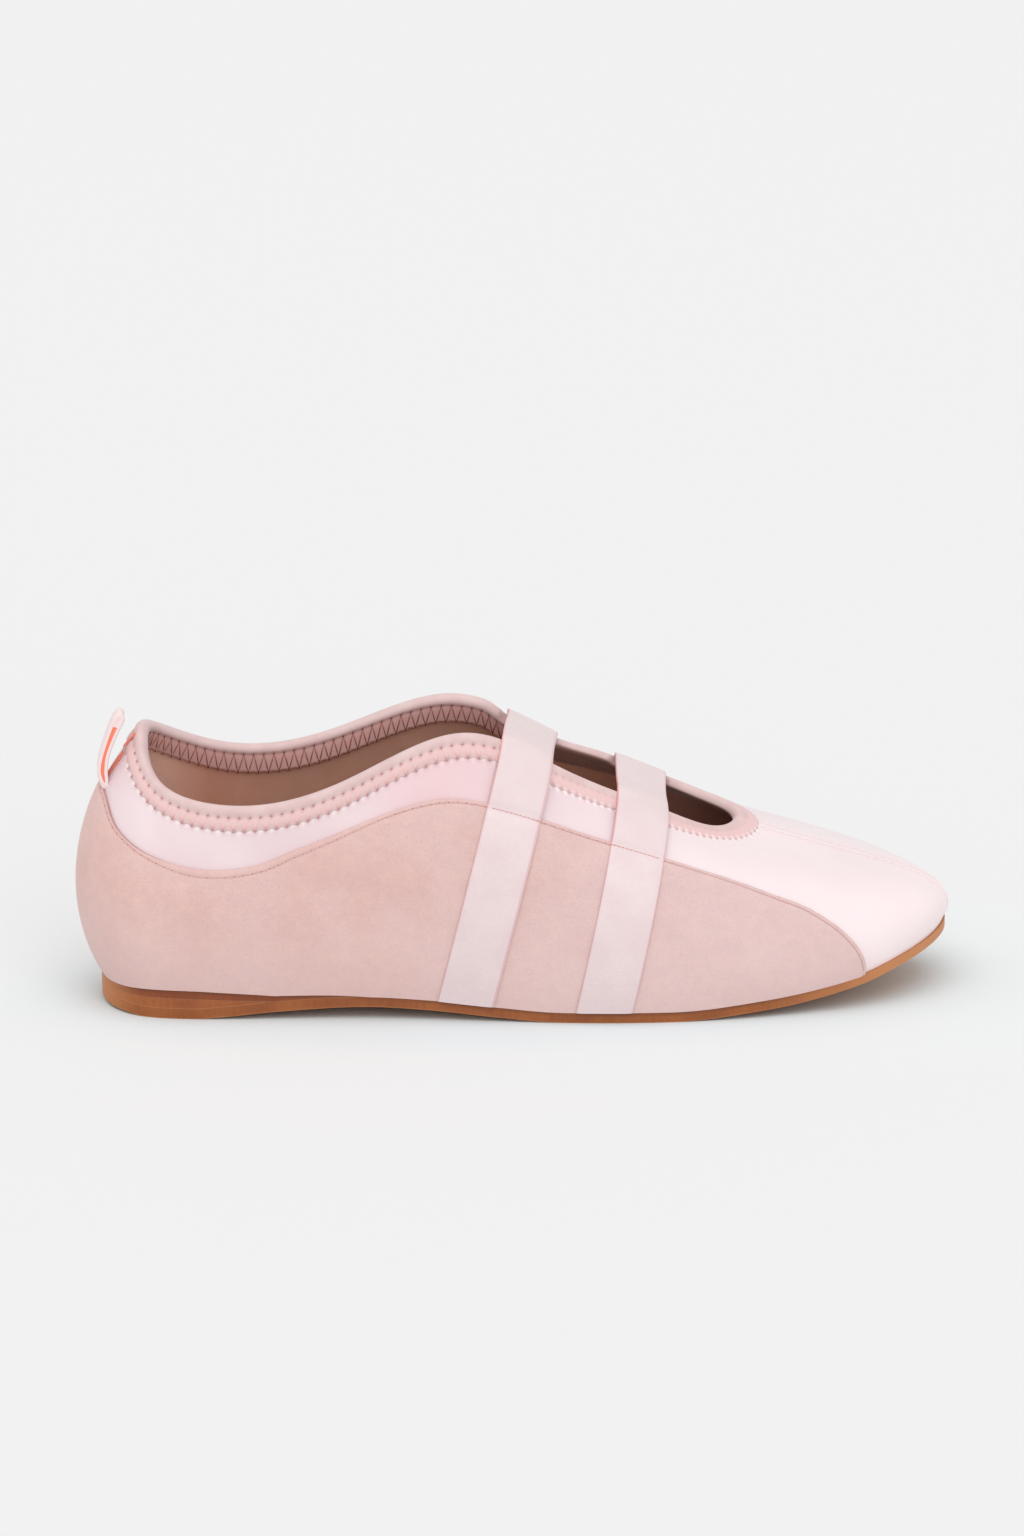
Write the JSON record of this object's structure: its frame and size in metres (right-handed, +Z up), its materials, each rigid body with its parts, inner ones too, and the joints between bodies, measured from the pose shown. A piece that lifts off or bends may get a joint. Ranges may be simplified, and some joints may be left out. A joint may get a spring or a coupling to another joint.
{
  "type": "ballet sneaker",
  "caption": "Low slip-on ballet sneaker: hollow satin upper with suede overlay, elastic topline binding, elastic straps over the throat, pull tab and thin sole on a low stacked heel.",
  "frame": {"origin": "centre of the shoe's box in plan, on the ground under its sole", "axes": "+X points to the toe, +Y to the medial side, which is the left of this right shoe, and +Z up"},
  "size_m": [0.2549, 0.0868, 0.085],
  "materials": {
    "outsole_rubber": "orange-tan leather-look rubber, smooth, faintly grained, with a soft shine on its edge",
    "lower_lift_rubber": "cognac leather-look rubber, smooth, soft shine",
    "upper_lift_rubber": "darker brown leather-look rubber, smooth, soft shine",
    "lining": "taupe lining leather, matt and finely grained",
    "satin": "very pale pink satin with a soft sheen and a fine cross weave",
    "suede": "dusty pink suede with a short mottled nap and a darker cut edge",
    "binding_elastic": "pink fold-over elastic with a zigzag stitched band",
    "strap_elastic": "pale pink flat elastic with fine cross ribs and dull selvedges",
    "tab_ribbon": "pale pink ribbon with a coral back",
    "thread": "fine sewing thread, mauve pink"
  },
  "bodies": {
    "root": {"outsole": "outsole_rubber", "heel_lift_lower": "lower_lift_rubber", "heel_lift_upper": "upper_lift_rubber", "insole": "lining", "upper": "satin", "quarter_overlay": "suede", "topline_binding": "binding_elastic", "strap_rear": "strap_elastic", "strap_front": "strap_elastic", "pull_tab": "tab_ribbon"}
  },
  "joints": []
}
